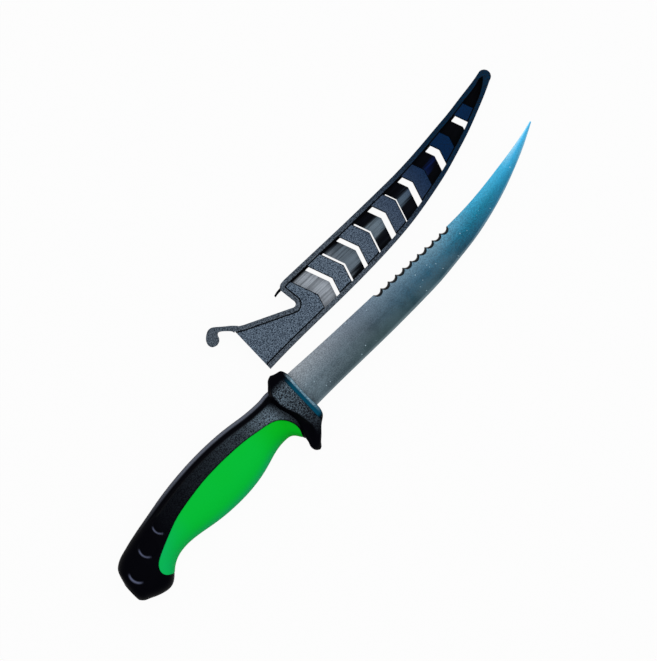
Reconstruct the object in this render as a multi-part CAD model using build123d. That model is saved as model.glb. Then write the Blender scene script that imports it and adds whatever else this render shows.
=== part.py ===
from build123d import *
import os
from math import cos, pi, sin

# Fillet knife with its slotted sheath, lying on a table
# Millimetres. The knife lies on its side: X runs along the blade towards the tip,
# Y across it towards the spine, Z up. The sheath lies beside the spine, its back on the table.
# Every solid is built in the knife's own frame first: X is zero at the guard's front face,
# Y at mid width of the blade's heel, and Z in the middle of the blade's thickness.

# Blade
blade_length = 178.0
blade_width = 21.5
blade_thickness = 2.0
edge_thickness = 0.5
tip_thickness = 0.75
tip_edge_thickness = 0.15
heel_depth = 3.0
grind_overrun = 1.1

# Serrated stretch of the spine
scallop_count = 10
scallop_pitch = 5.1
scallop_start = 61.6
scallop_depth = 1.6
scallop_radius = 2.95
scallop_facet = 0.8
scallop_skew = 0.5

# Tang, inside the handle
tang_length = 102.0
tang_width = 13.0
tang_end_width = 8.0
tang_drop = 4.6
tang_hole_radius = 2.4
tang_hole_count = 3
tang_first_hole = 36.0
tang_hole_spacing = 26.0

# Handle
handle_length = 134.6
handle_width = 32.6
handle_thickness = 24.0
rib_width = 1.9
groove_width = 1.6
groove_depth = 0.7
dimple_radius = 3.8
dimple_growth = 1.2
dimple_depth = 1.1

# Soft grip, let into the belly on both sides
grip_skin = 3.2
grip_peg_radius = 2.2
grip_peg_count = 3
grip_first_peg = 58.0
grip_peg_spacing = 22.0
grip_peg_drop = 11.4

# Guard
guard_height = 44.6
guard_depth = 16.8
guard_bevel = 3.1
guard_bevel_drop = 2.6
guard_lip = 1.0
guard_flange_thickness = 17.0
guard_edge_radius = 0.9

# Sheath
sheath_height = 8.8
sheath_panel = 2.0
sheath_wall = 1.2
sheath_margin = 2.3
sheath_back_margin = 4.8
sheath_tip_room = 7.1
rim_width = 2.4
rim_step = 0.3
line_width = 0.7
line_depth = 0.9
strap_chamfer = 0.6
rim_edge_radius = 0.35
ledge_width = 1.4
mouth_gap = 0.4

# Straps of the sheath
cell_count = 6
cell_start = 44.1
cell_pitch = 20.75
rear_strap_width = 8.6
wide_slot_width = 2.3
thin_slot_width = 1.0
upper_lean = 0.39
lower_lean = 0.30

# Thumb notch of the sheath, from the guard
notch_start = 6.0
notch_end = 33.3
notch_floor = 0.2
notch_brow = 12.4
notch_shoulder = 31.3
notch_radius = 1.8
shoulder_radius = 3.0

# Hook that snaps over the guard, and the spring finger that bears on the spine
hook_reach = 14.3
hook_rise = 12.2
hook_root = 11.0
hook_pivot_along = 1.2
hook_pivot_height = 14.3
hook_pivot_radius = 1.5
hook_angle = 135.0
hook_clearance = 0.06
hook_relief = 0.5
finger_length = 4.0
finger_thickness = 1.5
finger_tip_thickness = 1.0
finger_drop = 0.9
finger_set = 1.7

# Place of the sheath beside the knife
sheath_aside = 32.0
sheath_along = -4.8

overrun = 5.0

# Outlines, as shares of the sizes named beside them

# Place along blade_length, spine height and edge height in shares of blade_width
blade_shares = (
    (0.000, 0.515, -0.497),
    (0.148, 0.483, -0.470),
    (0.291, 0.469, -0.461),
    (0.434, 0.461, -0.425),
    (0.505, 0.457, -0.389),
    (0.577, 0.454, -0.315),
    (0.648, 0.458, -0.230),
    (0.705, 0.482, -0.130),
    (0.762, 0.532, 0.000),
    (0.819, 0.600, 0.158),
    (0.876, 0.677, 0.350),
    (0.933, 0.766, 0.565),
    (0.976, 0.852, 0.755),
    (1.000, 0.910, 0.866),
)

# Place along handle_length, back and belly in shares of handle_width, and half
# thickness in shares of half handle_thickness
handle_shares = (
    (0.068, 0.343, -0.592, 0.62),
    (0.094, 0.350, -0.620, 0.62),
    (0.113, 0.352, -0.600, 0.64),
    (0.125, 0.349, -0.514, 0.68),
    (0.140, 0.340, -0.430, 0.76),
    (0.170, 0.335, -0.386, 0.85),
    (0.219, 0.343, -0.402, 0.91),
    (0.294, 0.379, -0.494, 0.96),
    (0.389, 0.405, -0.577, 1.00),
    (0.483, 0.399, -0.597, 1.00),
    (0.577, 0.366, -0.572, 1.00),
    (0.672, 0.307, -0.517, 0.98),
    (0.740, 0.249, -0.519, 0.96),
    (0.785, 0.210, -0.575, 0.95),
    (0.815, 0.184, -0.661, 0.95),
    (0.838, 0.162, -0.754, 0.95),
    (0.864, 0.136, -0.815, 0.95),
    (0.902, 0.092, -0.810, 0.93),
    (0.936, 0.047, -0.765, 0.89),
    (0.962, -0.016, -0.718, 0.80),
    (0.981, -0.140, -0.678, 0.66),
    (0.994, -0.358, -0.616, 0.42),
)
handle_power = 2.5
section_points = 16
groove_first_share = 0.125
groove_last_share = 0.790

# Upper edge of the soft grip: place along handle_length, height in shares of handle_width
grip_edge_shares = (
    (0.119, -0.700),
    (0.119, -0.545),
    (0.108, -0.421),
    (0.113, -0.238),
    (0.125, -0.153),
    (0.143, -0.083),
    (0.181, -0.022),
    (0.219, 0.005),
    (0.276, 0.039),
    (0.332, 0.055),
    (0.389, 0.059),
    (0.445, 0.053),
    (0.502, 0.037),
    (0.559, 0.003),
    (0.615, -0.039),
    (0.672, -0.095),
    (0.747, -0.217),
    (0.808, -0.333),
    (0.851, -0.469),
    (0.857, -0.545),
    (0.852, -0.616),
    (0.828, -0.689),
    (0.808, -0.800),
)

# Dimples near the butt, in the same shares
dimple_shares = ((0.745, -0.008), (0.838, -0.140), (0.912, -0.343))

# Guard: place in shares of guard_depth behind its front, height in shares of guard_height
guard_bump_shares = (
    (0.000, 0.251),
    (0.027, 0.286),
    (0.079, 0.323),
    (0.242, 0.343),
    (0.414, 0.368),
    (0.556, 0.350),
    (0.674, 0.303),
    (0.786, 0.268),
)
guard_quillon_shares = (
    (0.952, -0.433),
    (0.937, -0.483),
    (0.977, -0.515),
    (0.986, -0.564),
    (0.934, -0.608),
    (0.835, -0.633),
    (0.759, -0.621),
    (0.695, -0.592),
    (0.544, -0.535),
    (0.242, -0.421),
    (0.048, -0.360),
    (0.000, -0.312),
)
cheek_rear_shares = (
    (0.786, 0.268),
    (0.832, 0.148),
    (0.786, 0.034),
    (0.665, -0.080),
    (0.575, -0.194),
    (0.544, -0.308),
    (0.575, -0.410),
    (0.640, -0.480),
)
cheek_quillon_points = 3
guard_power = 2.6
guard_middle_share = -0.128
guard_spread_share = 0.515

# How far the sheath's edges stand off the blade at each place of blade_shares, in
# shares of sheath_margin on the edge side and of sheath_back_margin on the spine side
sheath_belly_shares = (1.10, 0.93, 0.91, 0.88, 0.84, 0.93, 0.76, 0.74, 0.82, 0.88, 1.15, 1.37, 1.69)
sheath_back_shares = (0.98, 0.98, 1.00, 1.00, 1.03, 1.07, 1.11, 1.14, 1.12, 1.06, 0.95, 0.89, 0.74)

# Point of the sheath: beyond the blade's tip in shares of sheath_tip_room, height in
# shares of blade_width
sheath_point_shares = ((0.60, 0.770), (1.00, 0.953), (0.50, 1.093))
# How far the point of an inner outline is drawn back, in shares of its inset
inner_point_share = 1.6

# Height of the straps' points, at the start of each cell, in shares of blade_width
apex_shares = (-0.110, -0.020, 0.118, 0.246, 0.298, 0.465, 0.340)
# Slots at the front of each cell's front strap, in shares of wide_slot_width and thin_slot_width
wide_slot_shares = (0.97, 1.00, 1.39, 1.39, 1.57, 1.45)
thin_slot_shares = (1.10, 0.95, 0.70, 0.0, 0.0, 0.0)

# Hook outline, in shares of hook_reach behind the mouth and of hook_rise above hook_root
hook_outer_shares = (
    (-0.240, 0.260),
    (-0.050, 0.476),
    (0.132, 0.639),
    (0.371, 0.869),
    (0.510, 0.967),
    (0.640, 0.975),
    (0.800, 0.885),
    (0.937, 0.730),
    (1.000, 0.516),
    (0.951, 0.352),
    (0.783, 0.270),
    (0.629, 0.328),
    (0.552, 0.434),
    (0.500, 0.575),
    (0.440, 0.618),
    (0.371, 0.598),
    (0.210, 0.451),
    (0.063, 0.279),
    (0.028, 0.160),
)


def between(places, place):
    """Straight-line reading of a table of (place, value) at a place."""
    for (low, start), (high, end) in zip(places, places[1:]):
        if place <= high:
            return start + (end - start) * (place - low) / (high - low)
    return places[-1][1]


def oval(along, top, bottom, half):
    """Closed squarish oval across the handle, as tall as top to bottom."""
    middle = (top + bottom) / 2
    reach = (top - bottom) / 2
    ring = []
    for step in range(section_points):
        turn = 2 * pi * step / section_points
        up = abs(cos(turn)) ** (2 / handle_power)
        out = abs(sin(turn)) ** (2 / handle_power)
        high = middle + (reach if cos(turn) > 0 else -reach) * up
        side = (half if sin(turn) > 0 else -half) * out
        ring.append((along, high, side))
    return Face(Wire([Spline(*ring, periodic=True)]))


def handle_form(inset, first=0, last=len(handle_shares)):
    """The handle's outer form, shrunk by inset all round."""
    sections = []
    for place, back, belly, half in handle_shares[first:last]:
        top = back * handle_width - inset
        bottom = belly * handle_width + inset
        depth = half * handle_thickness / 2 - inset
        sections.append(oval(-place * handle_length, top, bottom, depth))
    return Solid.make_loft([face.outer_wire() for face in sections])


def slab(outline, height):
    """A flat plate of an outline, half its height to each side of the middle plane."""
    return extrude(outline, amount=height / 2, both=True)


def rounded_rims(plate, radius):
    """The plate with the edges of its two faces rounded."""
    rims = plate.edges().group_by(Axis.Z)
    return fillet(rims[-1] + rims[0], radius)


def handle_points(shares):
    return [(-place * handle_length, high * handle_width) for place, high in shares]


def guard_points(shares):
    return [(-place * guard_depth, high * guard_height) for place, high in shares]


def wedge_section(along, back_thickness, front_thickness):
    """Cross-section of the grind: it thickens evenly from the edge's height, past the spine."""
    low = -blade_width / 2 - grind_overrun
    high = 3 * blade_width / 2
    slope = (back_thickness - front_thickness) / (2 * blade_width)
    low_half = front_thickness / 2 - slope * grind_overrun
    high_half = back_thickness - front_thickness / 2
    corners = [(low, low_half), (low, -low_half), (high, -high_half), (high, high_half)]
    return Wire(Polyline(*[(along, y, z) for y, z in corners], close=True).edges())


def tang_form():
    root = tang_width / 2
    end = tang_end_width / 2
    outline = Polyline(
        (0, root),
        (-tang_length, end - tang_drop),
        (-tang_length, -end - tang_drop),
        (0, -root),
        close=True,
    )
    return slab(make_face(outline), blade_thickness)


def tang_center(along):
    """Height of the tang's middle line at a distance behind the guard's front."""
    return -tang_drop * along / tang_length


def blade_plan():
    """Outline of the blade from the heel inside the guard to the tip."""
    spine = [(place * blade_length, high * blade_width) for place, high, low in blade_shares]
    edge = [(place * blade_length, low * blade_width) for place, high, low in blade_shares]
    upper = Spline(*spine)
    lower = Spline(*edge)
    heel = Polyline(lower @ 0, (-heel_depth, edge[0][1]), (-heel_depth, spine[0][1]), upper @ 0)
    return make_face([upper, Line(upper @ 1, lower @ 1), lower, heel])


def build_blade():
    """Ground wedge with a serrated stretch of spine, and a flat tang with holes."""
    heel = wedge_section(-heel_depth, blade_thickness, edge_thickness)
    tip = wedge_section(blade_length + overrun, tip_thickness, tip_edge_thickness)
    blade = slab(blade_plan(), blade_thickness) & Solid.make_loft([heel, tip], True)
    blade = blade + tang_form()
    for index in range(scallop_count):
        blade = blade - scallop(scallop_start + index * scallop_pitch)
    for index in range(tang_hole_count):
        along = tang_first_hole + index * tang_hole_spacing
        blade = blade - Pos(-along, tang_center(along), 0) * Cylinder(tang_hole_radius, 2 * blade_thickness)
    return blade


def scallop(along):
    """Slanting cone that grinds one bite into the spine, wider at the front face."""
    spine_places = [(place * blade_length, spine * blade_width) for place, spine, edge in blade_shares]
    spine = between(spine_places, along)
    middle = spine - scallop_depth + scallop_radius
    rear = Pos(along, middle, -blade_thickness) * Circle(scallop_radius - scallop_facet)
    front = Pos(along + scallop_skew, middle, blade_thickness) * Circle(scallop_radius + scallop_facet)
    return loft([rear.face(), front.face()])


def grip_region():
    """Plan of the soft grip, running past the belly."""
    edge = handle_points(grip_edge_shares)
    below = -handle_width
    upper = Spline(*edge)
    lower = Polyline(edge[-1], (edge[-1][0], below), (edge[0][0], below), edge[0])
    return make_face([upper, lower])


def build_grip(form, core):
    """Soft skin round the belly, tied through the core by pegs."""
    grip = (form & slab(grip_region(), handle_thickness + overrun)) - core
    for index in range(grip_peg_count):
        along = grip_first_peg + index * grip_peg_spacing
        peg = Cylinder(grip_peg_radius, handle_thickness - 2 * grip_skin)
        grip = grip + Pos(-along, -grip_peg_drop, 0) * peg
    return grip


def spine_grooves():
    """Strip between the back rib and the side faces, wide enough to cut both sides."""
    backs = [(place, back * handle_width) for place, back, belly, half in handle_shares]
    places = [place for place, back in backs if groove_first_share <= place <= groove_last_share]
    lines = []
    for drop in (rib_width, rib_width + groove_width):
        lines.append(Spline(*[(-place * handle_length, between(backs, place) - drop) for place in places]))
    upper, lower = lines
    front = Line(upper @ 0, lower @ 0)
    rear = Line(upper @ 1, lower @ 1)
    return slab(make_face([upper, rear, lower, front]), handle_thickness + overrun)


def dimples():
    """Shallow thumb dimples on both sides, larger towards the butt."""
    halves = [(place, half * handle_thickness / 2) for place, back, belly, half in handle_shares]
    cutters = []
    for index, (place, high) in enumerate(dimple_shares):
        radius = dimple_radius + index * dimple_growth
        ball = (radius**2 + dimple_depth**2) / (2 * dimple_depth)
        lift = between(halves, place) + ball - dimple_depth
        for side in (-lift, lift):
            cutters.append(Pos(-place * handle_length, high * handle_width, side) * Sphere(ball))
    return cutters


def build_guard():
    """Bolster with a lobed outline, a bevelled front and a thinner flange behind its cheeks."""
    front = guard_points(guard_quillon_shares)[-1]
    bump = Spline(*guard_points(guard_bump_shares))
    quillon = Spline(*guard_points(guard_quillon_shares))
    face_line = Line(quillon @ 1, bump @ 0)
    rear_line = Line(bump @ 1, quillon @ 0)
    plan = make_face([bump, rear_line, quillon, face_line])
    cheek_rear = Spline(*guard_points(cheek_rear_shares))
    cheek_quillon = Spline(*guard_points(guard_quillon_shares[-cheek_quillon_points:]))
    cheek_end = Line(cheek_rear @ 1, cheek_quillon @ 0)
    cheek = make_face([bump, cheek_rear, cheek_end, cheek_quillon, face_line])
    thick = rounded_rims(slab(cheek, handle_thickness), guard_edge_radius)
    flange = rounded_rims(slab(plan, guard_flange_thickness), guard_edge_radius)
    half = handle_thickness / 2
    lip = half - guard_bevel_drop
    far = -2 * guard_depth
    upper = [(0, lip), (-guard_lip, lip), (-guard_bevel - guard_lip, half), (far, half)]
    lower = [(along, -up) for along, up in reversed(upper)]
    side_view = Polyline(*upper, *lower, close=True)
    bevelled = extrude(Plane.XZ * make_face(side_view), amount=guard_height, both=True)
    middle = guard_middle_share * guard_height
    spread = guard_spread_share * guard_height
    ring = []
    for step in range(2 * section_points):
        turn = pi * step / section_points
        up = abs(cos(turn)) ** (2 / guard_power)
        out = abs(sin(turn)) ** (2 / guard_power)
        high = middle + (spread if cos(turn) > 0 else -spread) * up
        ring.append((high, (half if sin(turn) > 0 else -half) * out))
    front_view = Plane.YZ * make_face(Spline(*ring, periodic=True))
    rounded = extrude(front_view, amount=2 * guard_depth, both=True)
    return (thick + flange) & bevelled & rounded


def sheath_lines(inset_belly, inset_back):
    """Points along the sheath's edge side and spine side, drawn in by the insets."""
    belly = []
    back = []
    for (place, spine, edge), low, high in zip(blade_shares, sheath_belly_shares, sheath_back_shares):
        along = place * blade_length
        belly.append((along, edge * blade_width - low * sheath_margin + inset_belly))
        back.append((along, spine * blade_width + high * sheath_back_margin - inset_back))
    belly[0] = (mouth_gap, belly[0][1])
    return belly, back


def sheath_nose(inset):
    """Rounded end of the sheath's outline, or the wedge that ends an outline inset from it."""
    corners = []
    for (place, high), up, back in zip(sheath_point_shares, (1, 0, -1), (1, inner_point_share, 1)):
        along = blade_length + place * sheath_tip_room - back * inset
        corners.append((along, high * blade_width + up * inset))
    if inset:
        return Polyline(*corners)
    return ThreePointArc(*corners)


def sheath_plan(inset_belly, inset_back, inset_tip, first):
    """Sheath outline from the mouth to the point, with a straight mouth line."""
    belly, back = sheath_lines(inset_belly, inset_back)
    belly[0] = (first, belly[0][1])
    back[0] = (first, back[0][1])
    nose = sheath_nose(inset_tip)
    lower = Spline(*belly, nose @ 0)
    upper = Spline(nose @ 1, *reversed(back))
    mouth = Line(upper @ 1, lower @ 0)
    return make_face([lower, nose, upper, mouth])


def thumb_notch():
    """Open notch that bares the spine, with the shoulder the finger grows from."""
    _, back = sheath_lines(0, 0)
    high = back[1][1]
    path = FilletPolyline(
        (notch_shoulder + 3 * shoulder_radius, high + shoulder_radius / 8),
        (notch_shoulder, high - shoulder_radius / 4),
        (notch_end, notch_floor),
        (notch_start, notch_brow),
        radius=[shoulder_radius, notch_radius],
    )
    top = high + overrun
    arm_root = (hook_pivot_along + hook_pivot_radius, hook_pivot_height)
    outer_left = (-2 * hook_reach, top + overrun)
    outer_right = (notch_shoulder + 3 * shoulder_radius, top)
    outside = Polyline(path @ 1, arm_root, outer_left, outer_right, path @ 0)
    return make_face([path, outside])


def chevron(apex, high):
    """Bent line across the sheath, pointing at the tip, as a list of three points."""
    reach = blade_width * 2
    return [
        (apex - upper_lean * reach, high + reach),
        (apex, high),
        (apex - lower_lean * reach, high - reach),
    ]


def band(start, end, level=0):
    """Outline between two chevrons at two places along the sheath, at a level."""
    heights = []
    for index, share in enumerate(apex_shares):
        heights.append((cell_start + index * cell_pitch, share * blade_width))
    first = chevron(start, between(heights, start))
    second = chevron(end, between(heights, end))
    corners = [(along, high, level) for along, high in [*first, *reversed(second)]]
    return Wire(Polyline(*corners, close=True).edges())


def opened(plan, ends, rise):
    """Block cut through one face of the sheath between two places, inside a plan."""
    return extrude(plan & make_face(band(*ends)), amount=rise)


def chamfered(plan, ends):
    """The same block for the front face, with the edges of the straps beside it chamfered."""
    start, end = ends
    top = sheath_height / 2 - rim_step
    narrow = band(start, end, top - strap_chamfer)
    wide = band(start - 2 * strap_chamfer, end + 2 * strap_chamfer, top + strap_chamfer)
    mouth = Solid.make_loft([narrow, wide], True) & extrude(plan, amount=sheath_height)
    return opened(plan, ends, sheath_height) + mouth


def strap_spans():
    """Ends of the places where the front is open, and of those where the back is open."""
    front_open = []
    back_open = []
    before = -overrun - cell_start
    slot = 0
    for index in range(cell_count):
        start = cell_start + index * cell_pitch
        wide = wide_slot_shares[index] * wide_slot_width
        thin = thin_slot_shares[index] * thin_slot_width
        strap_start = start + rear_strap_width
        back_open.append((before, start))
        front_open.append((start - slot, strap_start + wide))
        before = strap_start
        slot = thin
    last = cell_start + cell_count * cell_pitch
    back_open.append((before, last))
    front_open.append((last - slot, 2 * blade_length))
    return front_open, back_open


def arm_side(relief):
    """Block that covers the arm's side of the hook's pivot, square to the arm."""
    reach = 2 * hook_reach
    block = Box(reach, reach, 2 * sheath_height, align=(Align.MIN, Align.CENTER, Align.CENTER))
    return Pos(hook_pivot_along, hook_pivot_height, 0) * Rot(0, 0, hook_angle) * Pos(relief, 0, 0) * block


def pivot(radius):
    return Pos(hook_pivot_along, hook_pivot_height, 0) * Cylinder(radius, sheath_height)


def build_hook():
    """Arm that springs over the guard, hollowed round the pivot at its root."""
    arm = Spline(*[(-x * hook_reach, hook_root + y * hook_rise) for x, y in hook_outer_shares])
    arm = slab(make_face([arm, Line(arm @ 1, arm @ 0)]), sheath_height)
    arm = rounded_rims(arm, rim_edge_radius)
    return (arm & arm_side(hook_relief)) - pivot(hook_pivot_radius + hook_clearance)


def finger():
    """Short curved spur from the notch's shoulder, over the spine."""
    _, back = sheath_lines(0, 0)
    root = back[1][1] - finger_set
    right = notch_shoulder + finger_thickness
    middle = notch_shoulder - finger_length / 2
    tip = notch_shoulder - finger_length
    upper = Spline((right, root), (middle, root - finger_drop / 3), (tip, root - finger_drop))
    lower = Spline(
        (tip, root - finger_drop - finger_tip_thickness),
        (middle, root - finger_drop / 3 - (finger_thickness + finger_tip_thickness) / 2),
        (right, root - finger_thickness),
    )
    plan = make_face([upper, Line(upper @ 1, lower @ 0), lower, Line(lower @ 1, upper @ 0)])
    return slab(plan, sheath_height - 2 * sheath_panel)


def panel_plan(inset, notch):
    """Plan of the front panel, inside rims of the given width along its edges and the notch."""
    return sheath_plan(inset, inset, inset, mouth_gap - overrun) - offset(notch, inset)


def build_sheath():
    """One moulding: two walls joined by straps that alternate between front and back."""
    notch = thumb_notch()
    shell = rounded_rims(slab(sheath_plan(0, 0, 0, mouth_gap) - notch, sheath_height), rim_edge_radius)
    hollow = sheath_plan(sheath_wall, rim_width, rim_width, mouth_gap - overrun)
    shell = shell - slab(hollow, sheath_height - 2 * sheath_panel)
    front_open, back_open = strap_spans()
    bead = sheath_plan(rim_width, rim_width, rim_width, mouth_gap - overrun)
    floor_inset = rim_width + ledge_width
    floor = sheath_plan(rim_width, floor_inset, floor_inset, mouth_gap - overrun)
    panel = panel_plan(rim_width, notch)
    line = panel - panel_plan(rim_width + line_width, notch)
    shell = shell - Pos(0, 0, sheath_height / 2 - rim_step) * extrude(panel, amount=sheath_height)
    shell = shell - Pos(0, 0, sheath_height / 2 - line_depth) * extrude(line, amount=sheath_height)
    for ends in front_open:
        shell = shell - chamfered(bead, ends)
    for ends in back_open:
        shell = shell - opened(floor, ends, -sheath_height)
    return (shell - arm_side(0)) + pivot(hook_pivot_radius) + finger()


def placed(piece, along, aside, lift):
    return Pos(along, aside, lift) * piece


form = handle_form(0)
core = handle_form(grip_skin, 1)
blade = build_blade()
grip = build_grip(form, core) - blade
guard = build_guard() - blade
body = form - grip - blade
body = body - (spine_grooves() - handle_form(groove_depth))
for cutter in dimples():
    body = body - cutter
guard = guard - form
sheath = build_sheath()
hook = build_hook()

knife = {"blade": blade, "handle_body": body, "soft_grip": grip, "guard": guard}
cover = {"sheath": sheath, "sheath_hook": hook}
knife_lift = -min(piece.bounding_box().min.Z for piece in knife.values())
pieces = {name: placed(piece, 0, 0, knife_lift) for name, piece in knife.items()}
for name, piece in cover.items():
    pieces[name] = placed(piece, sheath_along, sheath_aside, sheath_height / 2)

# The origin is on the table, under the middle of the whole
boxes = [piece.bounding_box() for piece in pieces.values()]
middle_x = (min(box.min.X for box in boxes) + max(box.max.X for box in boxes)) / 2
middle_y = (min(box.min.Y for box in boxes) + max(box.max.Y for box in boxes)) / 2

os.makedirs("parts", exist_ok=True)
for name, piece in pieces.items():
    export_step(placed(piece, -middle_x, -middle_y, 0), "parts/" + name + ".step")
print("origin in the knife's frame", round(middle_x, 3), round(middle_y, 3), round(-knife_lift, 3))
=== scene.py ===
import math

import bpy
import numpy as np
from bpy.props import FloatProperty, FloatVectorProperty, PointerProperty
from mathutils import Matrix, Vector


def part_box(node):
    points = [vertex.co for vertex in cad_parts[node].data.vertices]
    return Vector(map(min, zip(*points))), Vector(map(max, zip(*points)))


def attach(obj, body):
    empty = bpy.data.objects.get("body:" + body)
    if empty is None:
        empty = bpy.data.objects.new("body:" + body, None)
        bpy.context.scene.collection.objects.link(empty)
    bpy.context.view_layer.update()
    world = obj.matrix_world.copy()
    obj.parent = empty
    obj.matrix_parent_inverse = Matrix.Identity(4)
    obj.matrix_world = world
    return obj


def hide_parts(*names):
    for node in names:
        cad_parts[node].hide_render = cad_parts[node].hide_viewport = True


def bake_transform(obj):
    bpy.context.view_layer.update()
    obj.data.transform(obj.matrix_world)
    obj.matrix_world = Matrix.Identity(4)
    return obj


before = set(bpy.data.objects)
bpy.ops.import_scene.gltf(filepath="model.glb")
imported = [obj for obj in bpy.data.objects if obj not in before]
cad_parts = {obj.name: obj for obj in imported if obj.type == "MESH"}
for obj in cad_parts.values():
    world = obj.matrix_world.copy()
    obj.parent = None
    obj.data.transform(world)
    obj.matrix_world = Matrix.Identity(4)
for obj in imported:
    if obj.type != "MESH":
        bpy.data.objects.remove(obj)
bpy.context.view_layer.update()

bl_info = {
    "name": "Fillet knife and sheath",
    "version": (1, 0, 0),
    "blender": (4, 5, 0),
    "location": "View3D > Sidebar > Fillet knife",
    "description": "Builds a fillet knife's grip and guard, its sheath's hook, and all finishes",
    "category": "Object",
}

MM = 0.001

# The knife's own frame: zero at the guard's front face, at mid width of the blade's heel and in
# the middle of its thickness. Every outline below is drawn in it.
BLADE_WIDTH = 21.5 * MM
BLADE_LENGTH = 178 * MM
TIP_SHARE = 0.91
BLADE_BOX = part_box("blade")
KNIFE_ORIGIN = np.array([
    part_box("guard")[1].x,
    BLADE_BOX[1].y - TIP_SHARE * BLADE_WIDTH,
    (BLADE_BOX[0].z + BLADE_BOX[1].z) / 2,
])
ZERO_X, ZERO_Y, ZERO_Z = (float(part) for part in KNIFE_ORIGIN)

# The photograph's frame, in its own pixels
PHOTO_WIDTH = 657
PHOTO_HEIGHT = 661
PHOTO_HEEL = (302.2, 389.9)
BLADE_TURN = math.radians(43.5)
PIXEL = 0.508 * MM


def tone(red, green, blue):
    """Scene-linear colour of a colour given in display values from 0 to 255."""
    shares = [part / 255 for part in (red, green, blue)]
    return tuple(s / 12.92 if s <= 0.04045 else ((s + 0.055) / 1.055) ** 2.4 for s in shares)


# Settings that a user would change

def length(name, description, default):
    """A size whose default is given in millimetres."""
    return FloatProperty(
        name=name, description=description, default=default * MM,
        unit="LENGTH", precision=4,
    )


def colour(name, description, red, green, blue):
    """A colour whose default is given in display values."""
    return FloatVectorProperty(
        name=name, description=description, default=tone(red, green, blue),
        subtype="COLOR", size=3, min=0, max=1,
    )


class HandleSizes(bpy.types.PropertyGroup):
    """Sizes of the hard body and the soft grip."""

    length: length("Length", "Guard front to butt", 134.6)
    width: length("Width", "Back to belly at its widest", 32.6)
    thickness: length("Thickness", "Side to side", 23.6)
    rib_width: length("Rib width", "Strip along the back, beside the groove", 1.8)
    groove_width: length("Groove width", "Groove below the back strip", 1.9)
    groove_depth: length("Groove depth", "Depth of that groove", 0.9)
    dimple_radius: length("Dimple radius", "Radius of the smallest thumb dimple", 5.0)
    dimple_growth: length("Dimple growth", "Radius gained by each next dimple", 0.6)
    dimple_depth: length("Dimple depth", "Depth at a dimple's steep side", 1.3)
    grip_rise: length("Grip rise", "How far the grip stands above the body", 0.15)
    grip_lip: length("Grip lip", "Radius of the grip's rolled edge", 0.9)
    grip_skin: length("Grip skin", "Thickness of the soft moulding", 2.4)


class GuardSizes(bpy.types.PropertyGroup):
    """Sizes of the guard."""

    depth: length("Depth", "Front face to the back of the quillon", 16.8)
    height: length("Height", "Unit of height of the outline", 44.6)
    thickness: length("Thickness", "Cheek to cheek", 24.0)
    flange: length("Flange", "Thickness behind the cheeks", 17.0)
    lip: length("Lip", "Upright front edge before the bevel", 1.0)
    bevel: length("Bevel", "Length of the bevel behind the lip", 3.1)
    bevel_drop: length("Bevel drop", "How far the bevel falls to the lip", 2.6)
    edge_radius: length("Edge radius", "Rounding of the rim", 1.6)


class HookSizes(bpy.types.PropertyGroup):
    """Sizes of the sheath's hook."""

    reach: length("Reach", "How far the hook reaches behind the mouth", 14.3)
    rise: length("Rise", "Unit of height of its outline", 12.2)
    root: length("Root", "Height of its root above the blade's middle", 11.0)
    edge_radius: length("Edge radius", "Rounding of the rim", 0.7)


class Finishes(bpy.types.PropertyGroup):
    """Colours of the finishes."""

    black: colour("Black", "Smooth black moulding", 1, 1, 5)
    # Painted sheen on grained faces turned up; the moulding itself is black
    grain_sheen: colour("Slate grain", "Lights of the grained faces", 112, 130, 144)
    # Painted highlight along the handle's back
    strip: colour("Polished strip", "Rubbed back edge of the handle", 96, 102, 116)
    # Painted highlights on the steep walls of the thumb dimples
    crescent: colour("Dimple edge", "Rubbed edges of the thumb dimples", 88, 94, 118)
    # Painted reflection of blue light on the guard's bevel
    bevel_blue_reflection: colour("Guard bevel", "Blue bevel of the guard", 2, 68, 92)
    green: colour("Grip", "Soft grip", 0, 180, 51)
    green_edge: colour("Grip rim", "Grip where it turns under", 6, 166, 96)
    green_front: colour("Grip front", "Grip beside the guard", 0, 168, 14)
    # Sheath: lighter tones near the mouth are painted sheen on black moulding, the blue near the
    # point a painted reflection of blue light
    panel_near: colour("Panel, mouth", "Sheath straps near the mouth", 103, 118, 134)
    panel_far: colour("Panel, point", "Sheath straps near the point", 2, 34, 70)
    rim_near: colour("Rim, mouth", "Sheath rim near the mouth", 90, 100, 111)
    rim_far: colour("Rim, point", "Sheath rim near the point", 0, 36, 62)


class StageSettings(bpy.types.PropertyGroup):
    """Camera, lamps and floor."""

    camera_distance: FloatProperty(
        name="Camera distance", description="Height of the camera above the knife",
        default=3.0, unit="LENGTH",
    )
    lamp_power: FloatProperty(
        name="Lamp power", description="Power of the key lamp", default=9.0, unit="POWER",
    )
    sky_light: FloatProperty(
        name="Sky light", description="Brightness of the room straight above", default=1.0,
    )


class KnifeSettings(bpy.types.PropertyGroup):
    """All settings of the knife and its stage."""

    handle: PointerProperty(type=HandleSizes)
    guard: PointerProperty(type=GuardSizes)
    hook: PointerProperty(type=HookSizes)
    finishes: PointerProperty(type=Finishes)
    stage: PointerProperty(type=StageSettings)


# Outlines, as shares of the sizes named beside them

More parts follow.
